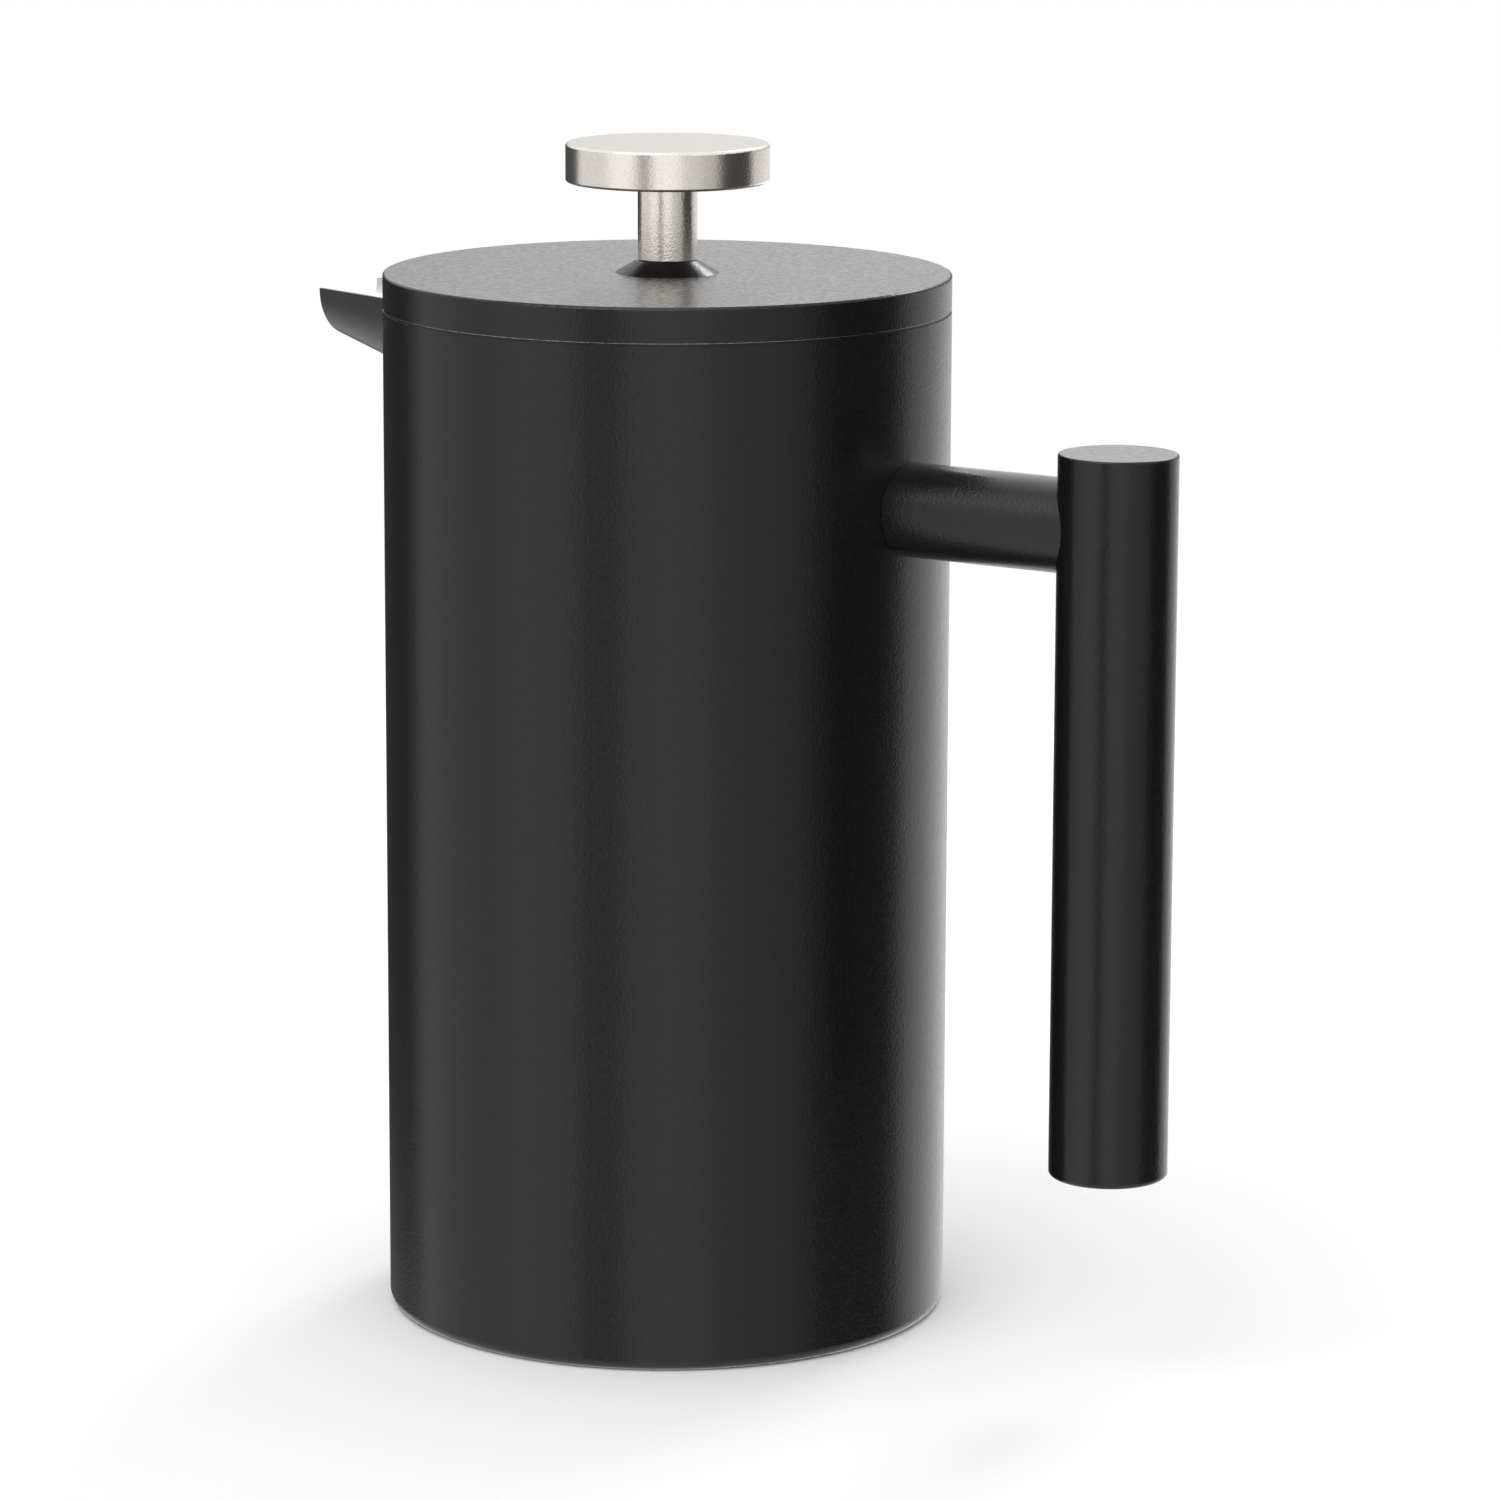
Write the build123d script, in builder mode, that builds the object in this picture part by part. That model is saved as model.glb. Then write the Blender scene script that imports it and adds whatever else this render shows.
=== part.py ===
from build123d import *
import math
import os

os.makedirs("parts", exist_ok=True)

# Sizes in millimetres. The pot's axis is Z, it rests on Z = 0, handle towards +X, spout towards -X.

# Pot
pot_d = 105.0
pot_h = 188.6
shell_wall = 0.8
foot_corner_r = 2.0
foot_flange_w = 10.5
base_plate_t = 0.8
base_lap_w = 6.0
wall_space = 4.2
floor_space = 8.0
liner_wall = 0.5
liner_corner_r = 8.0
liner_rim_r = 1.6
rim_step = 0.2

# Spout: a half cone that opens upwards, level with the rim
spout_reach = 20.2
spout_tip_r = 9.6
spout_slope = 0.312
spout_wall = 0.8
spout_drop = 0.7
spout_root_inset = 9.0

# Handle
arm_d = 17.2
arm_wall = 1.2
arm_below_rim = 33.2
grip_d = 21.6
grip_wall = 1.2
grip_length = 132.0
grip_below_rim = 19.3
finger_room = 32.45
cap_t = 2.0
cap_spigot = 4.0
cap_top_edge_r = 0.4
cap_bottom_edge_r = 1.0

# Lid
lid_h = 6.3
lid_wall = 1.0
lid_edge_r = 0.5
lid_plate_t = 0.8
skirt_depth = 14.0
skirt_wall = 0.6
skirt_bend_r = 1.2
skirt_flange_w = 6.4
strainer_slots = 11
strainer_span = 42.0
slot_w = 2.0
slot_h = 9.0
spacer_wall = 5.8

# Guide bush and collar, sized from the rod outwards
rod_d = 6.0
bush_wall = 1.45
bush_head_step = 0.5
bush_head_t = 1.2
bush_flange_step = 1.0
bush_flange_t = 1.4
neck_wall = 1.45
neck_below_nut = 1.5
cone_base_d = 19.3
cone_lip = 0.65
cone_h = 2.3
collar_nut_wall = 3.0
collar_nut_t = 4.0

# Plunger
thread_step = 0.5
knob_d = 37.6
knob_t = 7.2
knob_edge_r = 0.6
knob_thread_depth = 4.5
stem_d = 11.0
stem_h = 14.3
stem_edge_r = 0.2

# Filter pack, from the bottom up
grounds_room = 15.8
hub_wall = 2.5
hub_h = 6.5
hub_floor = 1.5
hub_edge = 0.8
cross_plate_inset = 5.4
cross_plate_t = 1.0
cross_lip_h = 3.0
cross_lip_r = 1.6
cross_holes = 6
cross_hub_land_d = 31.0
cross_rim_land = 6.5
screen_t = 0.4
screen_rim_lip = 1.0
screen_rim_wall = 0.4
spring_plate_t = 0.6
spring_plate_rise = 4.8
spring_plate_bend_r = 1.2
dimple_d = 20.0
dimple_slope_w = 2.0
drain_hole_d = 4.0
drain_spacing = 8.2
drain_ring_step = 7.0
drain_land = 4.0
lock_nut_wall = 1.5
lock_nut_t = 4.0

# Edge spring
spring_coil_d = 4.4
spring_wire_d = 0.7
spring_curls = 72
spring_end_gap_deg = 1.6

# Clearances
weld_gap = 0.05
thread_gap = 0.05
running_gap = 0.05
axial_gap = 0.1
seat_gap = 0.1
hole_gap = 0.2
skirt_gap = 0.6
wiper_gap = 0.6
spring_seat_gap = 0.05
crimp_gap = 0.05
brim_gap = 0.4

# Places of the pot and its handle
pot_r = pot_d / 2
rim_z = pot_h - liner_wall
liner_r = pot_r - shell_wall - wall_space - liner_wall
liner_floor_z = shell_wall + base_plate_t + floor_space + liner_wall
foot_hole_r = pot_r - foot_flange_w
base_plate_r = foot_hole_r - hole_gap
spout_z = pot_h - spout_drop
spout_tip_x = pot_r + spout_reach
spout_root_x = liner_r - spout_root_inset
arm_z = pot_h - arm_below_rim
grip_x = pot_r + finger_room + grip_d / 2
grip_bore_r = grip_d / 2 - grip_wall
grip_top_z = pot_h - grip_below_rim
grip_bottom_z = grip_top_z - grip_length

# Places of the lid, its collar and the bush
bush_bore_r = rod_d / 2 + running_gap
bush_r = bush_bore_r + bush_wall
bush_head_r = bush_r + bush_head_step
collar_bore_r = bush_r + running_gap
head_seat_r = bush_head_r + running_gap
neck_r = collar_bore_r + neck_wall
neck_hole_r = neck_r + hole_gap
lid_z = pot_h + seat_gap
lid_top_z = lid_z + lid_h
lid_plate_r = pot_r - lid_wall - hole_gap
skirt_r = liner_r - skirt_gap
neck_end_z = lid_z - collar_nut_t - neck_below_nut
bush_end_z = neck_end_z - axial_gap
cone_top_z = lid_top_z + cone_h
head_seat_z = cone_top_z - bush_head_t - axial_gap

# Places of the plunger and its filter pack
thread_r = rod_d / 2 - thread_step
rod_hole_r = thread_r + thread_gap
stem_z = cone_top_z + seat_gap
knob_z = stem_z + stem_h
cross_z = liner_floor_z + grounds_room
screen_z = cross_z + cross_plate_t
brim_z = screen_z + screen_t
brim_top_z = brim_z + spring_plate_t
raised_z = brim_z + spring_plate_rise
lock_nut_top_z = brim_top_z + lock_nut_t
hub_z = cross_z - hub_h
wiper_r = liner_r - wiper_gap
crimp_slot_r = wiper_r - screen_rim_wall
screen_r = crimp_slot_r - crimp_gap
crimp_in_r = screen_r - screen_rim_lip
brim_r = crimp_in_r - brim_gap
cross_plate_r = wiper_r - cross_plate_inset
spring_centre_r = wiper_r - spring_coil_d / 2
spring_centre_z = brim_top_z + spring_seat_gap + spring_coil_d / 2
spring_wall_r = spring_centre_r - spring_coil_d / 2 - spring_seat_gap
wall_line_r = spring_wall_r - spring_plate_t


def save(piece, name):
    """Label a finished piece and write it to its own file."""
    piece.part.label = name
    export_step(piece.part, f"parts/{name}.step")


def outline(points):
    """Closed section of straight lines, given by radius and height."""
    with BuildSketch(Plane.XZ) as section:
        with BuildLine():
            Polyline(*points, close=True)
        make_face()
    return section.sketch


def bent_sheet(points, radii, thickness, side):
    """Section of a bent sheet, given by the line of one of its faces."""
    with BuildSketch(Plane.XZ) as section:
        with BuildLine():
            FilletPolyline(*points, radius=radii)
            offset(amount=thickness, side=side)
        make_face()
    return section.sketch


def spout_radius(x):
    """Outer radius of the spout's half cone at the distance x from the pot's axis."""
    return spout_tip_r + (spout_tip_x - x) * spout_slope


# Notch in both walls that the spout fits into, open at the rim
notch_end_x = pot_r + spout_wall
notch_wide = spout_radius(spout_root_x) + weld_gap
notch_narrow = spout_radius(notch_end_x) + weld_gap
spout_axis = Axis((0, 0, spout_z), (1, 0, 0))
with BuildPart() as spout_notch:
    with BuildSketch(Plane.XY.offset(spout_z)):
        Polygon(
            (-spout_root_x, 0),
            (-spout_root_x, -notch_wide),
            (-notch_end_x, -notch_narrow),
            (-notch_end_x, 0),
            align=None,
        )
    revolve(axis=spout_axis, revolution_arc=180)
    with BuildSketch(Plane.XY.offset(spout_z)):
        Polygon(
            (-spout_root_x, notch_wide),
            (-spout_root_x, -notch_wide),
            (-notch_end_x, -notch_narrow),
            (-notch_end_x, notch_narrow),
            align=None,
        )
    extrude(amount=2 * spout_drop)

# Pot: outer wall with a turned-in foot
with BuildPart() as outer_shell:
    revolve(
        bent_sheet(
            [(foot_hole_r, 0), (pot_r, 0), (pot_r, rim_z)],
            foot_corner_r,
            shell_wall,
            Side.LEFT,
        ),
        axis=Axis.Z,
    )
    add(spout_notch.part, mode=Mode.SUBTRACT)
save(outer_shell, "outer_shell")

# Pot: steel cup hung in the outer wall by its rim
with BuildPart() as inner_liner:
    revolve(
        bent_sheet(
            [(0, liner_floor_z), (liner_r, liner_floor_z), (liner_r, pot_h), (pot_r - rim_step, pot_h)],
            [liner_corner_r, liner_rim_r],
            liner_wall,
            Side.RIGHT,
        ),
        axis=Axis.Z,
    )
    add(spout_notch.part, mode=Mode.SUBTRACT)
save(inner_liner, "inner_liner")

# Pot: joggled disc that laps over the foot's flange and stands flush with it
with BuildPart() as base_plate:
    revolve(
        outline([
            (0, 0),
            (base_plate_r, 0),
            (base_plate_r, shell_wall),
            (base_plate_r + base_lap_w, shell_wall),
            (base_plate_r + base_lap_w, shell_wall + base_plate_t),
            (base_plate_r - base_plate_t, shell_wall + base_plate_t),
            (base_plate_r - base_plate_t, base_plate_t),
            (0, base_plate_t),
        ]),
        axis=Axis.Z,
    )
save(base_plate, "base_plate")

# Pot: half-round spout that runs through both walls to the liner's face
with BuildPart() as spout:
    root_r = spout_radius(spout_root_x)
    with BuildSketch(Plane.XY.offset(spout_z)):
        Polygon(
            (-spout_root_x, -root_r),
            (-spout_tip_x, -spout_tip_r),
            (-spout_tip_x, -spout_tip_r + spout_wall),
            (-spout_root_x, -root_r + spout_wall),
            align=None,
        )
    revolve(axis=spout_axis, revolution_arc=180)
    Cylinder(liner_r, 2 * pot_h, mode=Mode.SUBTRACT)
save(spout, "spout")

# Handle: level arm, saddle-cut to the pot and to the grip
with BuildPart() as handle_arm:
    with BuildSketch(Plane.YZ):
        with Locations((0, arm_z)):
            Circle(arm_d / 2)
            Circle(arm_d / 2 - arm_wall, mode=Mode.SUBTRACT)
    extrude(amount=grip_x)
    Cylinder(pot_r + weld_gap, 2 * pot_h, mode=Mode.SUBTRACT)
    with Locations((grip_x, 0, 0)):
        Cylinder(grip_d / 2 + weld_gap, 2 * pot_h, mode=Mode.SUBTRACT)
save(handle_arm, "handle_arm")

# Handle: upright grip tube
with BuildPart() as handle_grip:
    with BuildSketch(Plane.XY.offset(grip_bottom_z + cap_t)):
        with Locations((grip_x, 0)):
            Circle(grip_d / 2)
            Circle(grip_bore_r, mode=Mode.SUBTRACT)
    extrude(amount=grip_top_z - grip_bottom_z - 2 * cap_t)
save(handle_grip, "handle_grip")


def grip_cap(face_z, inward, edge_r):
    """Disc with a spigot that closes one end of the grip tube."""
    with BuildPart() as cap:
        with BuildSketch(Plane.XY.offset(face_z)):
            with Locations((grip_x, 0)):
                Circle(grip_d / 2)
        extrude(amount=inward * cap_t)
        fillet(faces().sort_by(Axis.Z, reverse=inward < 0)[0].edges(), edge_r)
        with BuildSketch(Plane.XY.offset(face_z + inward * cap_t)):
            with Locations((grip_x, 0)):
                Circle(grip_bore_r - weld_gap)
        extrude(amount=inward * cap_spigot)
    return cap


grip_top_cap = grip_cap(grip_top_z, -1, cap_top_edge_r)
save(grip_top_cap, "grip_top_cap")

grip_bottom_cap = grip_cap(grip_bottom_z, 1, cap_bottom_edge_r)
save(grip_bottom_cap, "grip_bottom_cap")

# Lid: black cap with a plain side and a crisp top edge
with BuildPart() as lid_cap:
    revolve(
        outline([
            (neck_hole_r, lid_top_z),
            (pot_r, lid_top_z),
            (pot_r, lid_z),
            (pot_r - lid_wall, lid_z),
            (pot_r - lid_wall, lid_top_z - lid_wall),
            (neck_hole_r, lid_top_z - lid_wall),
        ]),
        axis=Axis.Z,
    )
    outer_rims = edges().filter_by(GeomType.CIRCLE).group_by(SortBy.RADIUS)[-1]
    fillet(outer_rims.sort_by(Axis.Z)[-1], lid_edge_r)
save(lid_cap, "lid_cap")

# Lid: steel underside
with BuildPart() as lid_plate:
    revolve(
        outline([
            (neck_hole_r, lid_z),
            (lid_plate_r, lid_z),
            (lid_plate_r, lid_z + lid_plate_t),
            (neck_hole_r, lid_z + lid_plate_t),
        ]),
        axis=Axis.Z,
    )
save(lid_plate, "lid_plate")

# Lid: skirt that centres it in the mouth, slotted as a strainer towards the spout
slot_step = strainer_span / (strainer_slots - 1)
with BuildPart() as lid_skirt:
    revolve(
        bent_sheet(
            [(skirt_r, lid_z - skirt_depth), (skirt_r, lid_z), (skirt_r - skirt_flange_w, lid_z)],
            skirt_bend_r,
            skirt_wall,
            Side.LEFT,
        ),
        axis=Axis.Z,
    )
    for slot in range(strainer_slots):
        slot_angle = 180 - strainer_span / 2 + slot * slot_step
        with BuildSketch(Plane.YZ.rotated((0, 0, slot_angle))):
            with Locations((0, lid_z - skirt_depth / 2)):
                SlotOverall(slot_h, slot_w, rotation=90)
        extrude(amount=pot_r, mode=Mode.SUBTRACT)
save(lid_skirt, "lid_skirt")

# Lid: sleeve that keeps cap and plate apart under the nut
with BuildPart() as lid_spacer:
    revolve(
        outline([
            (neck_hole_r, lid_z + lid_plate_t),
            (neck_hole_r + spacer_wall, lid_z + lid_plate_t),
            (neck_hole_r + spacer_wall, lid_top_z - lid_wall),
            (neck_hole_r, lid_top_z - lid_wall),
        ]),
        axis=Axis.Z,
    )
save(lid_spacer, "lid_spacer")

# Lid: conical collar with a neck through the lid and a stepped bore for the bush
with BuildPart() as lid_collar:
    revolve(
        outline([
            (collar_bore_r, neck_end_z),
            (neck_r, neck_end_z),
            (neck_r, lid_top_z),
            (cone_base_d / 2, lid_top_z),
            (head_seat_r + cone_lip, cone_top_z),
            (head_seat_r, cone_top_z),
            (head_seat_r, head_seat_z),
            (collar_bore_r, head_seat_z),
        ]),
        axis=Axis.Z,
    )
save(lid_collar, "lid_collar")

# Lid: nut that clamps the collar
with BuildPart() as collar_nut:
    with BuildSketch(Plane.XY.offset(lid_z - collar_nut_t)):
        RegularPolygon(neck_r + collar_nut_wall, 6, major_radius=False)
        Circle(neck_r + thread_gap, mode=Mode.SUBTRACT)
    extrude(amount=collar_nut_t)
save(collar_nut, "collar_nut")

# Guide bush, snapped into the collar between a head and a flange
with BuildPart() as guide_bush:
    revolve(
        outline([
            (bush_bore_r, bush_end_z - bush_flange_t),
            (bush_r + bush_flange_step, bush_end_z - bush_flange_t),
            (bush_r + bush_flange_step, bush_end_z),
            (bush_r, bush_end_z),
            (bush_r, head_seat_z + axial_gap / 2),
            (bush_head_r, head_seat_z + axial_gap / 2),
            (bush_head_r, cone_top_z - axial_gap / 2),
            (bush_bore_r, cone_top_z - axial_gap / 2),
        ]),
        axis=Axis.Z,
    )
save(guide_bush, "guide_bush")

# Plunger: knob with a blind threaded hole underneath
with BuildPart() as knob:
    with BuildSketch(Plane.XY.offset(knob_z)):
        Circle(knob_d / 2)
    extrude(amount=knob_t)
    fillet(edges().filter_by(GeomType.CIRCLE), knob_edge_r)
    with BuildSketch(Plane.XY.offset(knob_z)):
        Circle(rod_hole_r)
    extrude(amount=knob_thread_depth + axial_gap, mode=Mode.SUBTRACT)
save(knob, "knob")

# Plunger: stem sleeve under the knob, which comes down on the collar
with BuildPart() as knob_stem:
    with BuildSketch(Plane.XY.offset(stem_z)):
        Circle(stem_d / 2)
        Circle(rod_d / 2 + thread_gap, mode=Mode.SUBTRACT)
    extrude(amount=stem_h)
    lower_rims = edges().filter_by(GeomType.CIRCLE).group_by(Axis.Z)[0]
    fillet(lower_rims.sort_by(SortBy.RADIUS)[-1], stem_edge_r)
save(knob_stem, "knob_stem")

# Plunger: rod with a thinner threaded end in the knob and through the filter pack
with BuildPart() as plunger_rod:
    revolve(
        outline([
            (0, hub_z + hub_floor + axial_gap),
            (thread_r, hub_z + hub_floor + axial_gap),
            (thread_r, lock_nut_top_z),
            (rod_d / 2, lock_nut_top_z),
            (rod_d / 2, knob_z),
            (thread_r, knob_z),
            (thread_r, knob_z + knob_thread_depth),
            (0, knob_z + knob_thread_depth),
        ]),
        axis=Axis.Z,
    )
save(plunger_rod, "plunger_rod")

# Filter pack: nut above the plates
with BuildPart() as lock_nut:
    with BuildSketch(Plane.XY.offset(brim_top_z)):
        RegularPolygon(thread_r + lock_nut_wall, 6, major_radius=False)
        Circle(rod_hole_r, mode=Mode.SUBTRACT)
    extrude(amount=lock_nut_t)
save(lock_nut, "lock_nut")

# Filter pack: perforated plate with a raised ring, whose brim carries the spring
ring_r = wall_line_r - drain_land
with BuildPart() as spring_plate:
    revolve(
        bent_sheet(
            [
                (rod_hole_r, brim_z),
                (dimple_d / 2, brim_z),
                (dimple_d / 2 + dimple_slope_w, raised_z),
                (wall_line_r, raised_z),
                (wall_line_r, brim_z),
                (brim_r, brim_z),
            ],
            spring_plate_bend_r,
            spring_plate_t,
            Side.LEFT,
        ),
        axis=Axis.Z,
    )
    with BuildSketch(Plane.XY.offset(brim_z)):
        while ring_r > dimple_d / 2 + drain_land:
            with PolarLocations(ring_r, int(2 * math.pi * ring_r / drain_spacing)):
                Circle(drain_hole_d / 2)
            ring_r -= drain_ring_step
    extrude(amount=spring_plate_rise + 2 * spring_plate_t, mode=Mode.SUBTRACT)
save(spring_plate, "spring_plate")

# Filter pack: fine mesh disc, as a plain sheet
with BuildPart() as filter_screen:
    with BuildSketch(Plane.XY.offset(screen_z)):
        Circle(screen_r)
        Circle(rod_hole_r, mode=Mode.SUBTRACT)
    extrude(amount=screen_t)
save(filter_screen, "filter_screen")

# Filter pack: ring crimped round the mesh
with BuildPart() as screen_rim:
    revolve(
        outline([
            (crimp_in_r, screen_z - crimp_gap - screen_rim_wall),
            (wiper_r, screen_z - crimp_gap - screen_rim_wall),
            (wiper_r, brim_z + crimp_gap + screen_rim_wall),
            (crimp_in_r, brim_z + crimp_gap + screen_rim_wall),
            (crimp_in_r, brim_z + crimp_gap),
            (crimp_slot_r, brim_z + crimp_gap),
            (crimp_slot_r, screen_z - crimp_gap),
            (crimp_in_r, screen_z - crimp_gap),
        ]),
        axis=Axis.Z,
    )
save(screen_rim, "screen_rim")

# Filter pack: stiff lower plate with large holes and a turned-down lip
cross_hole_out_r = cross_plate_r - cross_rim_land
with BuildPart() as cross_plate:
    revolve(
        bent_sheet(
            [(rod_hole_r, screen_z), (cross_plate_r, screen_z), (cross_plate_r, screen_z - cross_lip_h)],
            cross_lip_r,
            cross_plate_t,
            Side.RIGHT,
        ),
        axis=Axis.Z,
    )
    with BuildSketch(Plane.XY.offset(cross_z)):
        with PolarLocations((cross_hole_out_r + cross_hub_land_d / 2) / 2, cross_holes):
            Circle((cross_hole_out_r - cross_hub_land_d / 2) / 2)
    extrude(amount=cross_plate_t, mode=Mode.SUBTRACT)
save(cross_plate, "cross_plate")

# Filter pack: closed nut at the rod's end
with BuildPart() as hub_nut:
    with BuildSketch(Plane.XY.offset(hub_z)):
        RegularPolygon(thread_r + hub_wall, 6, major_radius=False)
    extrude(amount=hub_h)
    chamfer(faces().sort_by(Axis.Z)[0].edges(), hub_edge)
    with BuildSketch(Plane.XY.offset(cross_z)):
        Circle(rod_hole_r)
    extrude(amount=hub_floor - hub_h, mode=Mode.SUBTRACT)
save(hub_nut, "hub_nut")

# Edge spring: one wire curled into a coil that runs round the filter's edge
curl_r = (spring_coil_d - spring_wire_d) / 2
spring_turn = math.radians(360 - spring_end_gap_deg)


def spring_point(share):
    """Point of the wire's centre line at a share of its whole run."""
    around = share * spring_turn
    curl = share * spring_curls * 2 * math.pi
    reach = spring_centre_r + curl_r * math.cos(curl)
    height = spring_centre_z + curl_r * math.sin(curl)
    return Vector(reach * math.cos(around), reach * math.sin(around), height)


def spring_direction(share):
    """Unit direction of the wire there."""
    step = 1e-6
    return (spring_point(share + step) - spring_point(share - step)).normalized()


def biarc(start, end):
    """Two tangent arcs from one share of the wire's run to another."""
    start_point = spring_point(start)
    end_point = spring_point(end)
    start_way = spring_direction(start)
    end_way = spring_direction(end)
    chord = end_point - start_point
    along = chord.dot(start_way + end_way)
    spread = 2 * (1 - start_way.dot(end_way))
    reach = (math.sqrt(along**2 + spread * chord.dot(chord)) - along) / spread
    first_corner = start_point + start_way * reach
    second_corner = end_point - end_way * reach
    middle = (first_corner + second_corner) / 2
    TangentArc(start_point, middle, tangent=start_way)
    TangentArc(middle, end_point, tangent=second_corner - first_corner)


with BuildPart() as edge_spring:
    with BuildLine() as wire_line:
        spans = 2 * spring_curls
        for span in range(spans):
            biarc(span / spans, (span + 1) / spans)
    with BuildSketch(Plane(origin=spring_point(0), z_dir=spring_direction(0))):
        Circle(spring_wire_d / 2)
    sweep(path=wire_line.wires()[0])
save(edge_spring, "edge_spring")

# Least gap of the wire to itself, measured on points half a curl or more apart and between its ends
points_per_curl = 24
wire_steps = points_per_curl * spring_curls
wire_points = [spring_point(step / wire_steps) for step in range(wire_steps + 1)]
curl_gap = min(
    (wire_points[i + apart] - wire_points[i]).length
    for apart in range(points_per_curl // 2, 2 * points_per_curl)
    for i in range(len(wire_points) - apart)
)
end_gap = min(
    (first - last).length
    for first in wire_points[:points_per_curl]
    for last in wire_points[-points_per_curl:]
)
print(f"edge spring: least gap of the wire to itself {min(curl_gap, end_gap) - spring_wire_d:.2f} mm")
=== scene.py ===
import math

import bpy
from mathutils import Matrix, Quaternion, Vector


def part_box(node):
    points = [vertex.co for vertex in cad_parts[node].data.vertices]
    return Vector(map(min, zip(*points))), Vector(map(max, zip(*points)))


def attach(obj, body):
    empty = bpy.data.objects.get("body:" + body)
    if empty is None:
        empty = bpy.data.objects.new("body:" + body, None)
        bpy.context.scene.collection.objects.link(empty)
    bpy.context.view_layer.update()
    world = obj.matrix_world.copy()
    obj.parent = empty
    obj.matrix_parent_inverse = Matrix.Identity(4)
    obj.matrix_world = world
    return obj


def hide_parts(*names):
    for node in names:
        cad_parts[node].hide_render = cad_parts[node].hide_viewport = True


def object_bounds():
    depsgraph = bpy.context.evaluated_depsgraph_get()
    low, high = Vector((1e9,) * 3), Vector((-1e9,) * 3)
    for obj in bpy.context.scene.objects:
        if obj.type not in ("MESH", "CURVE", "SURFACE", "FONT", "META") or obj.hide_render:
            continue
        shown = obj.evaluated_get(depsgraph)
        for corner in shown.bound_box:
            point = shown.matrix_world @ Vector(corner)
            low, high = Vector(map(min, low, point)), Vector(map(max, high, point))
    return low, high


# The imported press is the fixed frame: pot on the Z axis, handle towards +X, spout towards -X, metres
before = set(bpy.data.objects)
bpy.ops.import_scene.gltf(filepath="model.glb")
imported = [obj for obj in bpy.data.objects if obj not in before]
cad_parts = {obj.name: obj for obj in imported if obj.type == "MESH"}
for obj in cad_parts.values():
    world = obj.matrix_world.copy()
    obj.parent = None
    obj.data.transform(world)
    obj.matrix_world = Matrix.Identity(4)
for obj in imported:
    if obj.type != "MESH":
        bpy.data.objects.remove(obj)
cad_low, cad_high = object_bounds()

MM = 0.001
full_turn = 2 * math.pi
along_z = (0, 0, 1)
across_z = (1, 1, 0)
across_x = (0, 1, 1)

# Camera, fitted to the edges in the photograph, with angles in degrees
image_px = 1500
focal_px = 6216.3
sensor_mm = 36.0
view_bearing = 33.489
view_reach = 1140.84 * MM
view_height = 333.57 * MM
view_pitch = 11.321
view_turn = -0.779
view_roll = 0.201
view_nearest = 0.01
view_furthest = 50.0

# Filter pack pieces that stand for plain solids
spring_curls = 144
spring_wire = 0.7 * MM
spring_end_gap = 1.4 * spring_wire
curl_steps = 20
wire_sides = 8
mesh_pitch = 0.8 * MM
mesh_wire = 0.19 * MM
mesh_hole_margin = 0.1 * MM
mesh_sides = 4

# Surface effects: detail and roughness of their noise, and the part of its range that most of it lies in
grain_detail = 2.0
mottle_detail = 3.0
line_detail = 2.0
noise_roughness = 0.55
effect_from = 0.3
effect_to = 0.7

# A face that looks this nearly the way of a true round, as a cosine, is shaded as that round
round_match = 0.995

# Black coat and bare steel: colours, how the coat bends light, and grain and lines of steel sheet
coat_dark = (0.0045, 0.0045, 0.0046)
coat_light = (0.0080, 0.0080, 0.0082)
coat_ior = 1.45
gloss_ior = 1.6
bare_dark = (0.66, 0.64, 0.62)
bare_light = (0.78, 0.76, 0.735)
sheet_grain = {"Grains": 1800.0, "Mottle": 45.0}
sheet_lines = {"Lines": 4200.0, "Breaks": 4.0}

# The coat's gloss rises from the dips to the tops of its orange peel, between these values of the mottle
peel_dip = 0.38
peel_top = 0.62

# Where the coat ends: on the rim's edge under a thin bare lip, and where the spout's faces turn inwards
rim_edge = 0.1 * MM
rim_lip = 0.038 * MM
lip_ragged = 0.025 * MM
channel_facing = -0.5

# Studio: a white room with a low bounce, dark cards round the press, two soft lamps and a pale floor.
# Bearings are in degrees from the camera's side, to the viewer's right, and rises above the horizon.
room_centre = Vector((0, 0, 0.5 * cad_high.z))
card_reach = 2.2
card_cell = 4
card_edge = 8.0
card_highest = 88
card_least = 0.01
card_tone = 0.02
floor_radius = 1.0
floor_rings = 24
floor_spokes = 96
floor_tone = 0.95
floor_clear_from = 0.35
floor_clear_to = 0.95

# Low bounce: its middle, how many degrees from there it fades, from and to, and its light to the room's
bounce_bearing = 150
bounce_rise = -29
bounce_fade_from = 14
bounce_fade_to = 31
bounce_light = 1.36

# Lamps: bearing, rise, reach and size in metres, power in watts
lamps = {
    "front_softbox": (-40, 52, 1.8, 1.4, 8.0),
    "rear_softbox": (150, 38, 1.7, 0.5, 6.0),
}

# Cards: bearing from and to, rise from and to, and the share of the light that each holds back
cards = {
    "rear_left_flag": (-179, -116, -26, 14, 0.96),
    "left_scrim": (-122, -66, -28, 18, 0.26),
    "front_left_strip": (-38, -15, -34, 18, 0.70),
    "right_scrim": (11, 66, -34, 18, 0.34),
    "right_net": (34, 66, -34, 18, 0.24),
    "right_flag": (56, 114, -30, 20, 0.97),
    "rear_right_scrim": (102, 172, -8, 12, 0.54),
    "backdrop_scrim": (150, 214, 0, 32, 0.20),
}


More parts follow.
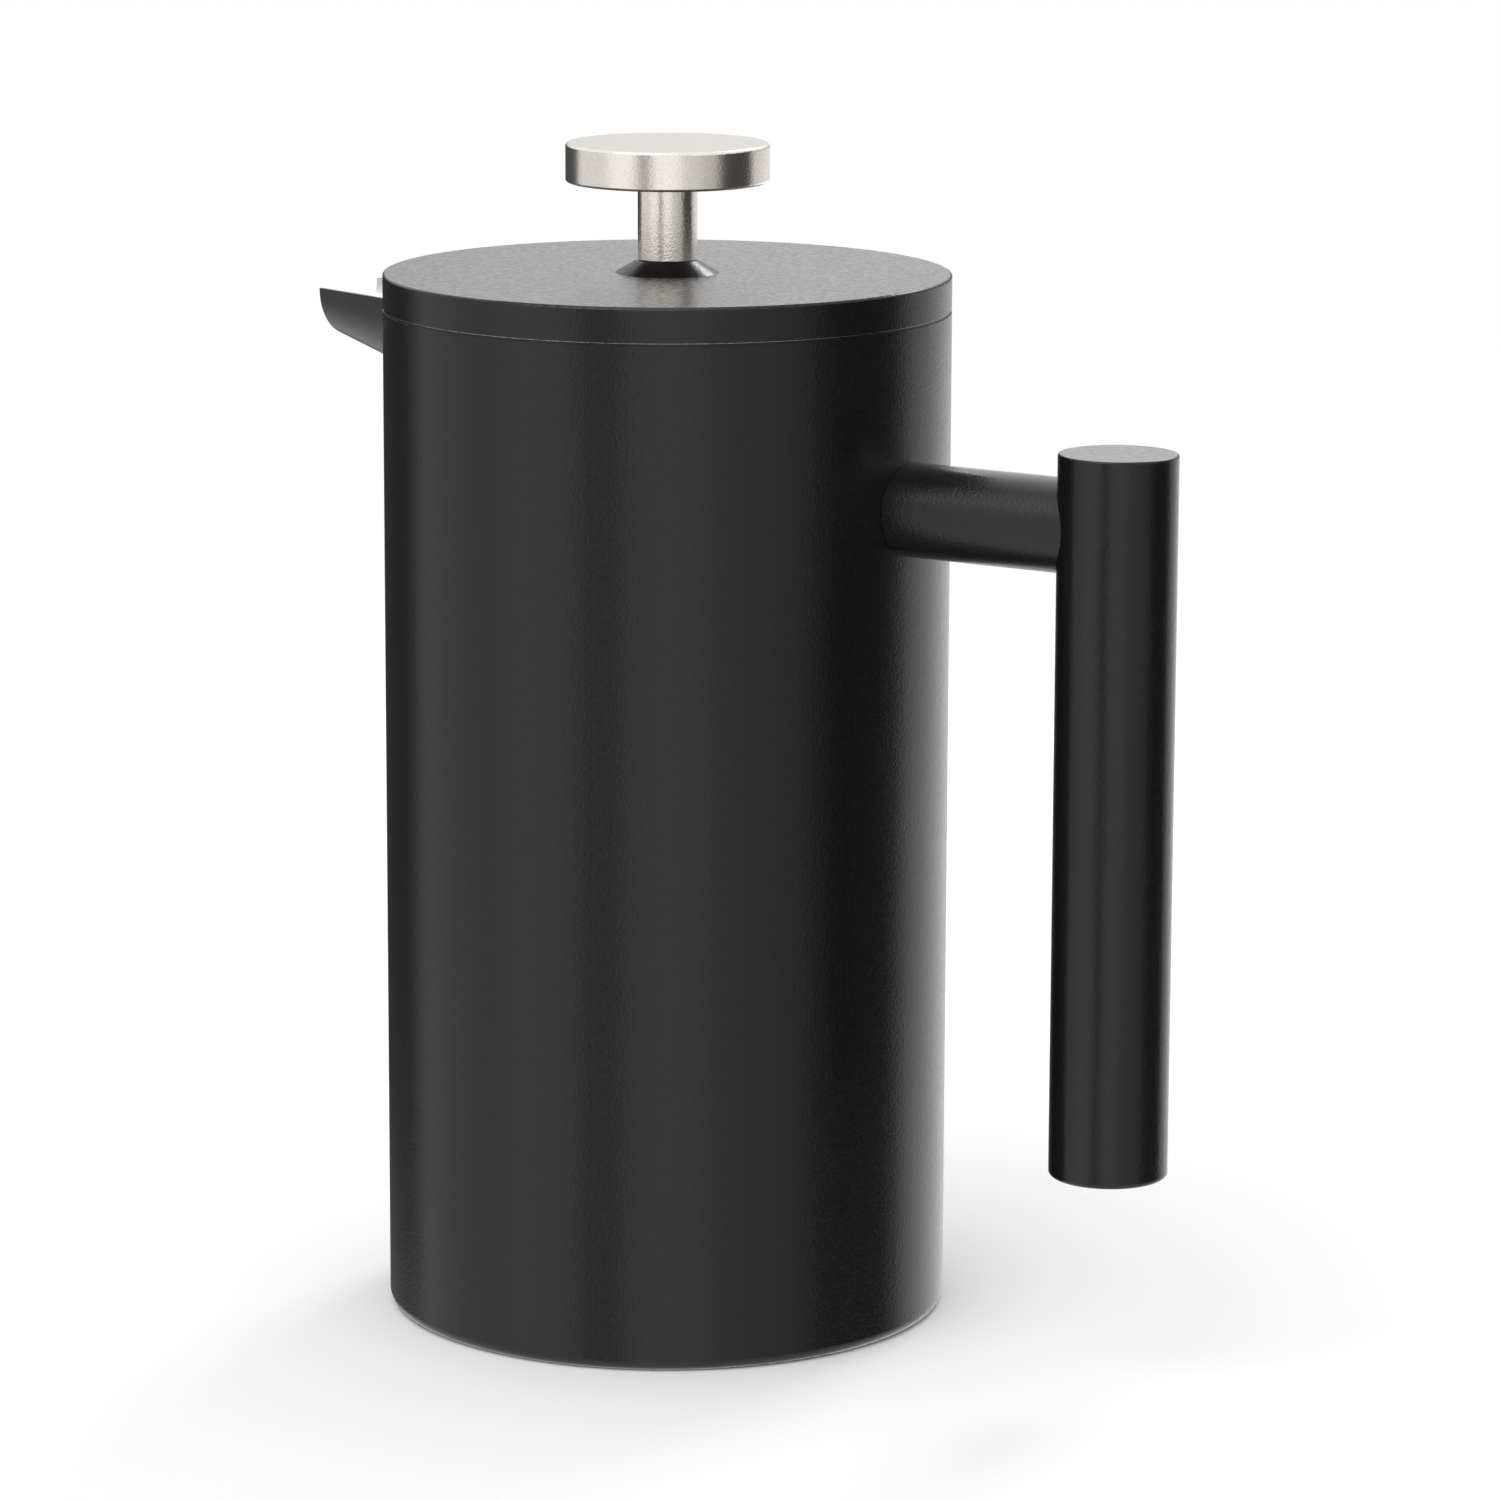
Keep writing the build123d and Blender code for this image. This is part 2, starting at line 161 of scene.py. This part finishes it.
def smooth_step(value):
    """Soft rise from 0 to 1."""
    held = min(max(value, 0.0), 1.0)
    return held * held * (3 - 2 * held)


def studio_direction(bearing, rise):
    """Unit direction at a bearing from the camera's side and a rise above the horizon, in degrees."""
    turn = math.radians(view_bearing - 90 + bearing)
    lift = math.radians(rise)
    return Vector((math.cos(turn) * math.cos(lift), math.sin(turn) * math.cos(lift), math.sin(lift)))


def add_object(name, data):
    """Object in the scene with that data."""
    thing = bpy.data.objects.new(name, data)
    bpy.context.scene.collection.objects.link(thing)
    return thing


def mesh_object(name, points, faces, smooth=True):
    """Mesh object from points and faces."""
    mesh = bpy.data.meshes.new(name)
    mesh.from_pydata(points, [], faces)
    mesh.polygons.foreach_set("use_smooth", [smooth] * len(mesh.polygons))
    mesh.update()
    return add_object(name, mesh)


# Short ways to make nodes


def math_node(tree, operation, first, second=None):
    """Math node fed by sockets or plain numbers; returns its value."""
    node = tree.nodes.new("ShaderNodeMath")
    node.operation = operation
    for socket, source in zip(node.inputs, (first, second)):
        if isinstance(source, (int, float)):
            socket.default_value = source
        elif source is not None:
            tree.links.new(source, socket)
    return node.outputs["Value"]


def vector_node(tree, operation, first, second=None):
    """Vector Math node fed by sockets, plain vectors or, to scale, a value; returns what it puts out."""
    node = tree.nodes.new("ShaderNodeVectorMath")
    node.operation = operation
    second_socket = node.inputs["Scale" if operation == "SCALE" else 1]
    for socket, source in ((node.inputs[0], first), (second_socket, second)):
        if isinstance(source, tuple):
            socket.default_value = source
        elif source is not None:
            tree.links.new(source, socket)
    return node.outputs["Value" if operation in ("LENGTH", "DOT_PRODUCT") else "Vector"]


def range_node(tree, source, start, end, low, high, soft=False):
    """Map Range node that runs from low to high as its source goes from start to end; returns its result."""
    node = tree.nodes.new("ShaderNodeMapRange")
    if soft:
        node.interpolation_type = "SMOOTHSTEP"
    for socket, value in (("From Min", start), ("From Max", end), ("To Min", low), ("To Max", high)):
        node.inputs[socket].default_value = value
    tree.links.new(source, node.inputs["Value"])
    return node.outputs["Result"]


def mix_node(tree, kind, share, first, second):
    """Mix node between two vectors or two colours, each a socket or a plain colour; returns the mix."""
    node = tree.nodes.new("ShaderNodeMix")
    node.data_type = kind
    tree.links.new(share, node.inputs["Factor"])
    for socket, source in (("A", first), ("B", second)):
        if isinstance(source, tuple):
            node.inputs[socket].default_value = (*source, 1.0)
        else:
            tree.links.new(source, node.inputs[socket])
    return node.outputs["Result"]


# Shared surface effects, as node groups


def new_group(name, inputs, outputs, kind="NodeSocketFloat"):
    """Empty shader node group with named sockets of one kind; returns it with its two end nodes."""
    group = bpy.data.node_groups.new(name, "ShaderNodeTree")
    for socket in inputs:
        group.interface.new_socket(socket, in_out="INPUT", socket_type=kind)
    for socket in outputs:
        group.interface.new_socket(socket, in_out="OUTPUT", socket_type=kind)
    return group, group.nodes.new("NodeGroupInput"), group.nodes.new("NodeGroupOutput")


def make_grain_group():
    """Fine, even grain of a blasted or powder-coated surface and a broader mottle, as counts in a metre."""
    group, given, put = new_group("fine_grain", ("Grains", "Mottle"), ("Grain", "Mottle"))
    place = group.nodes.new("ShaderNodeTexCoord")
    for effect, count, detail in (("Grain", "Grains", grain_detail), ("Mottle", "Mottle", mottle_detail)):
        noise = group.nodes.new("ShaderNodeTexNoise")
        noise.inputs["Detail"].default_value = detail
        noise.inputs["Roughness"].default_value = noise_roughness
        group.links.new(place.outputs["Object"], noise.inputs["Vector"])
        group.links.new(given.outputs[count], noise.inputs["Scale"])
        group.links.new(noise.outputs["Fac"], put.inputs[effect])
    return group


def make_turning_group():
    """Fine lines round the Z axis, as turning leaves them: lines in a metre, and how often they break."""
    group, given, put = new_group("turned_lines", ("Lines", "Breaks"), ("Line",))
    lines = given.outputs["Lines"]
    place = group.nodes.new("ShaderNodeTexCoord").outputs["Object"]
    level = vector_node(group, "MULTIPLY", place, across_z)
    radius = vector_node(group, "LENGTH", level)
    around = vector_node(group, "SCALE", vector_node(group, "NORMALIZE", level), given.outputs["Breaks"])
    height = vector_node(group, "SCALE", vector_node(group, "MULTIPLY", place, along_z), lines)
    noise = group.nodes.new("ShaderNodeTexNoise")
    noise.noise_dimensions = "4D"
    noise.inputs["Scale"].default_value = 1.0
    noise.inputs["Detail"].default_value = line_detail
    group.links.new(vector_node(group, "ADD", around, height), noise.inputs["Vector"])
    group.links.new(math_node(group, "MULTIPLY", radius, lines), noise.inputs["W"])
    group.links.new(noise.outputs["Fac"], put.inputs["Line"])
    return group


def make_round_group():
    """Normals of a true round about an axis, where the surface's own are within a few degrees of them."""
    group, given, put = new_group("true_round", ("Centre", "Across"), ("Normal",), "NodeSocketVector")
    across = given.outputs["Across"]
    place = group.nodes.new("ShaderNodeTexCoord").outputs
    from_axis = vector_node(group, "SUBTRACT", place["Object"], given.outputs["Centre"])
    outwards = vector_node(group, "NORMALIZE", vector_node(group, "MULTIPLY", from_axis, across))
    level = vector_node(group, "MULTIPLY", place["Normal"], across)
    lean = vector_node(group, "SUBTRACT", place["Normal"], level)
    match = vector_node(group, "DOT_PRODUCT", outwards, vector_node(group, "NORMALIZE", level))
    side = math_node(group, "SIGN", match)
    share = math_node(group, "MULTIPLY", vector_node(group, "LENGTH", level), side)
    true_round = vector_node(group, "ADD", vector_node(group, "SCALE", outwards, share), lean)
    close = math_node(group, "GREATER_THAN", math_node(group, "ABSOLUTE", match), round_match)
    world = group.nodes.new("ShaderNodeVectorTransform")
    world.vector_type = "NORMAL"
    world.convert_from = "OBJECT"
    world.convert_to = "WORLD"
    group.links.new(mix_node(group, "VECTOR", close, place["Normal"], true_round), world.inputs["Vector"])
    group.links.new(world.outputs["Vector"], put.inputs["Normal"])
    return group


grain_group = make_grain_group()
turning_group = make_turning_group()
round_group = make_round_group()


# Finishes


class Finish:
    """One procedural material round a Principled shader, with short ways to drive its sockets."""

    def __init__(self, name, plain):
        self.material = bpy.data.materials.new(name)
        self.material.use_nodes = True
        self.tree = self.material.node_tree
        self.shader = self.tree.nodes["Principled BSDF"]
        for socket, value in plain.items():
            self.shader.inputs[socket].default_value = value
        self.surface = None

    def turned(self, centre=(0, 0, 0), across=across_z):
        """Shades the piece as a true round about an axis through its centre."""
        self.surface = self.group(round_group, Centre=centre, Across=across)["Normal"]

    def place(self):
        """Where a point is on the piece, and which way it faces."""
        return self.tree.nodes.new("ShaderNodeTexCoord").outputs

    def group(self, group, **values):
        """Places a shared effect with this finish's own values."""
        node = self.tree.nodes.new("ShaderNodeGroup")
        node.node_tree = group
        for socket, value in values.items():
            node.inputs[socket].default_value = value
        return node.outputs

    def span(self, effect, low, high, start=effect_from, end=effect_to):
        """Value that runs from low to high over part of an effect's range."""
        return range_node(self.tree, effect, start, end, low, high)

    def mix(self, share, first, second):
        """Colour between two colours, each a plain colour or a socket."""
        return mix_node(self.tree, "RGBA", share, first, second)

    def tint(self, effect, dark, light):
        """Runs the base colour from dark to light over an effect."""
        self.feed("Base Color", self.mix(self.span(effect, 0, 1), dark, light))

    def roughen(self, effect, low, high):
        """Runs the roughness from low to high over an effect."""
        self.feed("Roughness", self.span(effect, low, high))

    def relief(self, effect, depth):
        """Lays an effect, with its depth in metres, on the surface so far."""
        node = self.tree.nodes.new("ShaderNodeBump")
        node.inputs["Distance"].default_value = depth
        self.tree.links.new(effect, node.inputs["Height"])
        if self.surface is not None:
            self.tree.links.new(self.surface, node.inputs["Normal"])
        self.surface = node.outputs["Normal"]
        self.feed("Normal", self.surface)

    def feed(self, socket, source):
        """Drives one socket of the shader."""
        self.tree.links.new(source, self.shader.inputs[socket])


def make_black_coat(name, centre=(0, 0, 0), across=across_z, *, level_from, gloss_least, gloss_rough):
    """Satin black powder coat: fine grain on a slight orange peel, glossier where it lay level.

    The gloss sets in on faces that look up by more than level_from, a cosine, and is least in the dips.
    """
    coat = Finish(name, {"IOR": coat_ior, "Coat IOR": gloss_ior, "Coat Roughness": gloss_rough})
    coat.turned(centre, across)
    grain = coat.group(grain_group, Grains=1800.0, Mottle=850.0)
    coat.tint(grain["Grain"], coat_dark, coat_light)
    coat.roughen(grain["Mottle"], low=0.20, high=0.26)
    upwards = vector_node(coat.tree, "DOT_PRODUCT", coat.place()["Normal"], along_z)
    level = coat.span(upwards, 0, 1, level_from, 1)
    gloss = coat.span(grain["Mottle"], gloss_least, 1, peel_dip, peel_top)
    coat.feed("Coat Weight", math_node(coat.tree, "MULTIPLY", level, gloss))
    coat.relief(grain["Mottle"], depth=0.012 * MM)
    coat.relief(grain["Grain"], depth=0.05 * MM)
    return coat.material


def make_spout_finish():
    """Black coat outside, bare steel on the faces that look in to the spout's channel."""
    spout = Finish("spout_coat_and_steel", {"IOR": coat_ior})
    grain = spout.group(grain_group, Grains=2600.0, Mottle=60.0)
    place = spout.place()
    from_axis = vector_node(spout.tree, "SUBTRACT", place["Object"], (0, 0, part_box("spout")[1].z))
    across = vector_node(spout.tree, "MULTIPLY", from_axis, across_x)
    outwards = vector_node(spout.tree, "NORMALIZE", across)
    facing = vector_node(spout.tree, "DOT_PRODUCT", outwards, place["Normal"])
    inside = math_node(spout.tree, "LESS_THAN", facing, channel_facing)
    tone = spout.span(grain["Grain"], 0, 1)
    coat = spout.mix(tone, coat_dark, coat_light)
    bare = spout.mix(tone, bare_dark, bare_light)
    spout.feed("Base Color", spout.mix(inside, coat, bare))
    spout.feed("Metallic", inside)
    spout.roughen(grain["Mottle"], low=0.23, high=0.29)
    spout.relief(grain["Grain"], depth=0.02 * MM)
    return spout.material


def make_liner_steel():
    """Spun steel, with the pot's black coat carried up over the edge of its rim to a thin bare lip."""
    liner = Finish("liner_steel", {"IOR": coat_ior})
    liner.turned()
    grain = liner.group(grain_group, **sheet_grain)
    line = liner.group(turning_group, **sheet_lines)["Line"]
    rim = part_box("inner_liner")[1]
    place = liner.place()["Object"]
    radius = vector_node(liner.tree, "LENGTH", vector_node(liner.tree, "MULTIPLY", place, across_z))
    height = vector_node(liner.tree, "DOT_PRODUCT", place, along_z)
    ragged = math_node(liner.tree, "ADD", height, liner.span(grain["Grain"], -lip_ragged, lip_ragged))
    at_edge = math_node(liner.tree, "GREATER_THAN", radius, rim.x - rim_edge)
    below_lip = math_node(liner.tree, "LESS_THAN", ragged, rim.z - rim_lip)
    coated = math_node(liner.tree, "MULTIPLY", at_edge, below_lip)
    bare = liner.mix(liner.span(line, 0, 1), bare_dark, bare_light)
    liner.feed("Base Color", liner.mix(coated, bare, coat_dark))
    liner.feed("Metallic", math_node(liner.tree, "SUBTRACT", 1, coated))
    liner.roughen(grain["Mottle"], low=0.30, high=0.38)
    liner.relief(line, depth=0.006 * MM)
    return liner.material


def make_satin_steel(name, grains, grain_depth):
    """Stainless steel of the knob, stem and rod, slightly warm, with its grain over faint turned lines."""
    steel = Finish(name, {"Metallic": 1.0})
    steel.turned()
    grain = steel.group(grain_group, Grains=grains, Mottle=120.0)
    line = steel.group(turning_group, Lines=6000.0, Breaks=8.0)["Line"]
    steel.tint(grain["Grain"], dark=(0.82, 0.765, 0.715), light=(0.94, 0.885, 0.835))
    steel.roughen(grain["Mottle"], low=0.18, high=0.23)
    steel.relief(line, depth=0.004 * MM)
    steel.relief(grain["Grain"], grain_depth)
    return steel.material


def make_pressed_steel():
    """Spun and pressed stainless sheet with fine lines round its axis."""
    steel = Finish("pressed_steel", {"Metallic": 1.0})
    steel.turned()
    grain = steel.group(grain_group, **sheet_grain)
    line = steel.group(turning_group, **sheet_lines)["Line"]
    steel.tint(line, bare_dark, bare_light)
    steel.roughen(grain["Mottle"], low=0.25, high=0.36)
    steel.relief(line, depth=0.012 * MM)
    steel.relief(grain["Grain"], depth=0.008 * MM)
    return steel.material


def make_bright_steel():
    """Bright machined nuts with tool lines."""
    steel = Finish("bright_steel", {"Metallic": 1.0})
    grain = steel.group(grain_group, Grains=2500.0, Mottle=250.0)
    line = steel.group(turning_group, Lines=3500.0, Breaks=3.0)["Line"]
    steel.tint(line, dark=(0.70, 0.69, 0.67), light=(0.80, 0.79, 0.775))
    steel.roughen(grain["Mottle"], low=0.14, high=0.22)
    steel.relief(line, depth=0.010 * MM)
    return steel.material


def make_spring_steel():
    """Drawn stainless spring wire."""
    wire = Finish("spring_steel", {"Metallic": 1.0})
    grain = wire.group(grain_group, Grains=6000.0, Mottle=400.0)
    wire.tint(grain["Mottle"], dark=(0.60, 0.59, 0.57), light=(0.74, 0.73, 0.71))
    wire.roughen(grain["Mottle"], low=0.18, high=0.28)
    wire.relief(grain["Grain"], depth=0.006 * MM)
    return wire.material


def make_woven_wire():
    """Fine woven stainless wire, duller than the sheet."""
    wire = Finish("woven_wire", {"Metallic": 1.0})
    grain = wire.group(grain_group, Grains=9000.0, Mottle=150.0)
    wire.tint(grain["Mottle"], dark=(0.48, 0.47, 0.455), light=(0.60, 0.59, 0.57))
    wire.roughen(grain["Grain"], low=0.26, high=0.38)
    return wire.material


def make_nylon():
    """Moulded black nylon with a soft eggshell texture."""
    nylon = Finish("black_nylon", {"IOR": 1.53})
    grain = nylon.group(grain_group, Grains=3500.0, Mottle=90.0)
    nylon.tint(grain["Mottle"], dark=(0.014, 0.014, 0.015), light=(0.022, 0.022, 0.023))
    nylon.roughen(grain["Grain"], low=0.40, high=0.52)
    nylon.relief(grain["Grain"], depth=0.012 * MM)
    return nylon.material


def middle(node):
    """Middle of a CAD node's box."""
    low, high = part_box(node)
    return tuple((low + high) / 2)


black_coat = make_black_coat("black_coat", level_from=0.87, gloss_least=0.3, gloss_rough=0.30)
grip_coat = make_black_coat(
    "grip_coat", middle("handle_grip"), level_from=0.87, gloss_least=0.6, gloss_rough=0.17
)
arm_coat = make_black_coat(
    "arm_coat", middle("handle_arm"), across_x, level_from=0.72, gloss_least=0.8, gloss_rough=0.17
)
pressed_steel = make_pressed_steel()
bright_steel = make_bright_steel()
node_finish = {
    "outer_shell": black_coat,
    "handle_arm": arm_coat,
    "handle_grip": grip_coat,
    "grip_top_cap": grip_coat,
    "grip_bottom_cap": grip_coat,
    "lid_cap": black_coat,
    "lid_collar": black_coat,
    "spout": make_spout_finish(),
    "inner_liner": make_liner_steel(),
    "base_plate": pressed_steel,
    "lid_plate": pressed_steel,
    "lid_skirt": pressed_steel,
    "lid_spacer": pressed_steel,
    "spring_plate": pressed_steel,
    "cross_plate": pressed_steel,
    "screen_rim": pressed_steel,
    "knob": make_satin_steel("knob_steel", grains=2300.0, grain_depth=0.027 * MM),
    "knob_stem": make_satin_steel("stem_steel", grains=2300.0, grain_depth=0.05 * MM),
    "plunger_rod": make_satin_steel("rod_steel", grains=3000.0, grain_depth=0.008 * MM),
    "collar_nut": bright_steel,
    "lock_nut": bright_steel,
    "hub_nut": bright_steel,
    "guide_bush": make_nylon(),
}
for node, finish in node_finish.items():
    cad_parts[node].material_slots[0].material = finish


# Pieces of the filter pack that stand for plain solids


def make_edge_spring():
    """One wire curled into a coil round the filter's edge, with two cut ends."""
    low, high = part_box("edge_spring")
    coil_r = (high.z - low.z) / 2
    ring_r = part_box("screen_rim")[1].x - coil_r
    ring_z = (high.z + low.z) / 2
    curl_r = coil_r - spring_wire / 2
    ring_turn = full_turn - spring_end_gap / ring_r
    steps = spring_curls * curl_steps
    points = []
    for step in range(steps + 1):
        around = ring_turn * step / steps
        curl = full_turn * spring_curls * step / steps
        outwards = Vector((math.cos(around), math.sin(around), 0))
        sideways = Vector((-math.sin(around), math.cos(around), 0))
        from_core = outwards * math.cos(curl) + Vector((0, 0, math.sin(curl)))
        round_core = Vector((0, 0, math.cos(curl))) - outwards * math.sin(curl)
        advance = (ring_r + curl_r * math.cos(curl)) * ring_turn / (full_turn * spring_curls)
        along = (round_core * curl_r + sideways * advance).normalized()
        across = along.cross(from_core)
        centre = outwards * ring_r + Vector((0, 0, ring_z)) + from_core * curl_r
        for side in range(wire_sides):
            angle = full_turn * side / wire_sides
            from_centre = from_core * math.cos(angle) + across * math.sin(angle)
            points.append(centre + from_centre * (spring_wire / 2))
    faces = [tuple(range(wire_sides))[::-1]]
    for step in range(steps):
        for side in range(wire_sides):
            first = step * wire_sides + side
            second = step * wire_sides + (side + 1) % wire_sides
            faces.append((first, second, second + wire_sides, first + wire_sides))
    faces.append(tuple(range(steps * wire_sides, (steps + 1) * wire_sides)))
    spring = mesh_object("edge_spring_coil", points, faces)
    spring.data.materials.append(make_spring_steel())
    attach(spring, "plunger")
    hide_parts("edge_spring")


def wire_runs(offset, outer_r, hole_r):
    """Start and end of each run of a mesh wire at an offset from the middle, broken by the centre hole."""
    reach = math.sqrt(outer_r**2 - offset**2)
    if abs(offset) >= hole_r:
        return [(-reach, reach)]
    inner = math.sqrt(hole_r**2 - offset**2)
    return [(-reach, -inner), (inner, reach)]


def weave_wire(points, faces, lengthwise, line, run, middle_z):
    """Adds one run of a mesh wire, over and under the wires that it crosses, with closed ends."""
    start, end = run
    first = math.ceil(start / mesh_pitch)
    last = math.floor(end / mesh_pitch)
    base = len(points)
    for cross in range(first, last + 1):
        over = 1 if (line + cross) % 2 == 0 else -1
        height = middle_z + mesh_wire / 2 * (over if lengthwise else -over)
        along = cross * mesh_pitch
        for side in range(mesh_sides):
            angle = full_turn * (side + 0.5) / mesh_sides
            beside = line * mesh_pitch + mesh_wire / 2 * math.cos(angle)
            above = height + mesh_wire / 2 * math.sin(angle)
            points.append((along, beside, above) if lengthwise else (beside, along, above))
    for ring in range(base, len(points) - mesh_sides, mesh_sides):
        for side in range(mesh_sides):
            here = ring + side
            beside = ring + (side + 1) % mesh_sides
            face = (here, beside, beside + mesh_sides, here + mesh_sides)
            faces.append(face if lengthwise else face[::-1])
    near = tuple(range(base, base + mesh_sides))
    far = tuple(range(len(points) - mesh_sides, len(points)))
    faces.append(near[::-1] if lengthwise else near)
    faces.append(far if lengthwise else far[::-1])


def make_filter_mesh():
    """Plain weave of two sets of wires that pass over and under each other, cut round."""
    low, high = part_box("filter_screen")
    outer_r = high.x - mesh_wire
    hole_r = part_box("lock_nut")[1].x / 2 + mesh_hole_margin
    middle_z = (low.z + high.z) / 2
    count = int(outer_r / mesh_pitch)
    points = []
    faces = []
    for lengthwise in (True, False):
        for line in range(-count, count + 1):
            for run in wire_runs(line * mesh_pitch, outer_r, hole_r):
                weave_wire(points, faces, lengthwise, line, run, middle_z)
    screen = mesh_object("filter_mesh", points, faces)
    screen.data.materials.append(make_woven_wire())
    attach(screen, "plunger")
    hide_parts("filter_screen")


make_edge_spring()
make_filter_mesh()


# Studio


def light_passed(bearing, rise):
    """Share of the room's light that the cards let through in a direction."""
    light = 1.0
    for left, right, bottom, top, held in cards.values():
        off_middle = abs((bearing - (left + right) / 2 + 180) % 360 - 180)
        cover = smooth_step(((right - left) / 2 - off_middle) / card_edge)
        cover *= smooth_step((rise - bottom) / card_edge) * smooth_step((top - rise) / card_edge)
        light *= 1 - held * cover
    return light


def make_card_stuff():
    """Dark stuff of the cards, that lets light through where their cover is thin."""
    material = bpy.data.materials.new("dark_card")
    material.use_nodes = True
    tree = material.node_tree
    tree.nodes.remove(tree.nodes["Principled BSDF"])
    cover = tree.nodes.new("ShaderNodeAttribute")
    cover.attribute_name = "cover"
    card = tree.nodes.new("ShaderNodeEmission")
    card.inputs["Color"].default_value = (card_tone, card_tone, card_tone, 1)
    clear = tree.nodes.new("ShaderNodeBsdfTransparent")
    both = tree.nodes.new("ShaderNodeMixShader")
    tree.links.new(cover.outputs["Fac"], both.inputs["Fac"])
    tree.links.new(clear.outputs["BSDF"], both.inputs[1])
    tree.links.new(card.outputs["Emission"], both.inputs[2])
    tree.links.new(both.outputs["Shader"], tree.nodes["Material Output"].inputs["Surface"])
    return material


def make_cards():
    """Dark cards on a large ball round the press, soft at their edges, that only the camera doesn't see."""
    bearings = range(-180, 180, card_cell)
    rises = range(-card_highest, card_highest + 1, card_cell)
    points = []
    covers = []
    for rise in rises:
        for bearing in bearings:
            points.append(room_centre + studio_direction(bearing, rise) * card_reach)
            covers.append(1 - light_passed(bearing, rise))
    faces = []
    for row in range(len(rises) - 1):
        low_row = row * len(bearings)
        high_row = low_row + len(bearings)
        for column in range(len(bearings)):
            beside = (column + 1) % len(bearings)
            corners = (low_row + column, low_row + beside, high_row + beside, high_row + column)
            if any(covers[corner] > card_least for corner in corners):
                faces.append(corners)
    shell = mesh_object("studio_cards", points, faces)
    shell.data.attributes.new("cover", "FLOAT", "POINT").data.foreach_set("value", covers)
    shell.data.materials.append(make_card_stuff())
    shell.visible_camera = False


def make_floor_paint():
    """Matt pale floor paint that clears away from the press."""
    material = bpy.data.materials.new("pale_floor")
    material.use_nodes = True
    tree = material.node_tree
    shader = tree.nodes["Principled BSDF"]
    shader.inputs["Base Color"].default_value = (floor_tone, floor_tone, floor_tone, 1)
    shader.inputs["Roughness"].default_value = 1.0
    shader.inputs["Specular IOR Level"].default_value = 0.0
    place = tree.nodes.new("ShaderNodeTexCoord").outputs["Object"]
    reach = vector_node(tree, "LENGTH", place)
    left = range_node(tree, reach, floor_clear_from, floor_clear_to, 1, 0, soft=True)
    tree.links.new(left, shader.inputs["Alpha"])
    return material


def make_floor():
    """Pale floor round the press that clears into the white room."""
    points = [(0, 0, 0)]
    for ring in range(1, floor_rings + 1):
        reach = floor_radius * ring / floor_rings
        for spoke in range(floor_spokes):
            turn = full_turn * spoke / floor_spokes
            points.append((reach * math.cos(turn), reach * math.sin(turn), 0))
    faces = []
    for spoke in range(floor_spokes):
        beside = (spoke + 1) % floor_spokes
        faces.append((0, 1 + spoke, 1 + beside))
        for ring in range(floor_rings - 1):
            here = 1 + ring * floor_spokes
            beyond = here + floor_spokes
            faces.append((here + spoke, beyond + spoke, beyond + beside, here + beside))
    floor = mesh_object("pale_floor", points, faces, smooth=False)
    floor.data.materials.append(make_floor_paint())
    floor.visible_glossy = False


def make_room():
    """White room, a little brighter at the low bounce behind on the right."""
    room = bpy.data.worlds.new("white_room")
    room.use_nodes = True
    tree = room.node_tree
    background = tree.nodes["Background"]
    background.inputs["Color"].default_value = (1, 1, 1, 1)
    way = tree.nodes.new("ShaderNodeTexCoord").outputs["Generated"]
    bounce_way = tuple(studio_direction(bounce_bearing, bounce_rise))
    towards = vector_node(tree, "DOT_PRODUCT", way, bounce_way)
    outer = math.cos(math.radians(bounce_fade_to))
    inner = math.cos(math.radians(bounce_fade_from))
    light = range_node(tree, towards, outer, inner, 1, bounce_light, soft=True)
    tree.links.new(light, background.inputs["Strength"])
    bpy.context.scene.world = room


def make_lamps():
    """Soft square lamps that face the press."""
    for name, (bearing, rise, reach, size, watts) in lamps.items():
        softbox = bpy.data.lights.new(name, "AREA")
        softbox.size = size
        softbox.energy = watts
        lamp = add_object(name, softbox)
        way = studio_direction(bearing, rise)
        lamp.location = room_centre + way * reach
        lamp.rotation_mode = "QUATERNION"
        lamp.rotation_quaternion = (-way).to_track_quat("-Z", "Y")
        lamp.visible_camera = False


def make_camera():
    """Camera at the photograph's place, heading and lens."""
    lens = bpy.data.cameras.new("photo_camera")
    lens.sensor_width = sensor_mm
    lens.lens = focal_px * sensor_mm / image_px
    lens.clip_start = view_nearest
    lens.clip_end = view_furthest
    camera = add_object("photo_camera", lens)
    bearing = math.radians(view_bearing)
    heading = bearing + math.radians(view_turn)
    pitch = math.radians(view_pitch)
    level = math.cos(pitch)
    camera.location = (view_reach * math.sin(bearing), -view_reach * math.cos(bearing), view_height)
    ahead = Vector((-math.sin(heading) * level, math.cos(heading) * level, -math.sin(pitch)))
    roll = Quaternion(along_z, math.radians(view_roll))
    camera.rotation_mode = "QUATERNION"
    camera.rotation_quaternion = ahead.to_track_quat("-Z", "Y") @ roll
    bpy.context.scene.camera = camera


make_cards()
make_floor()
make_room()
make_lamps()
make_camera()
bpy.context.scene.view_settings.view_transform = "Standard"
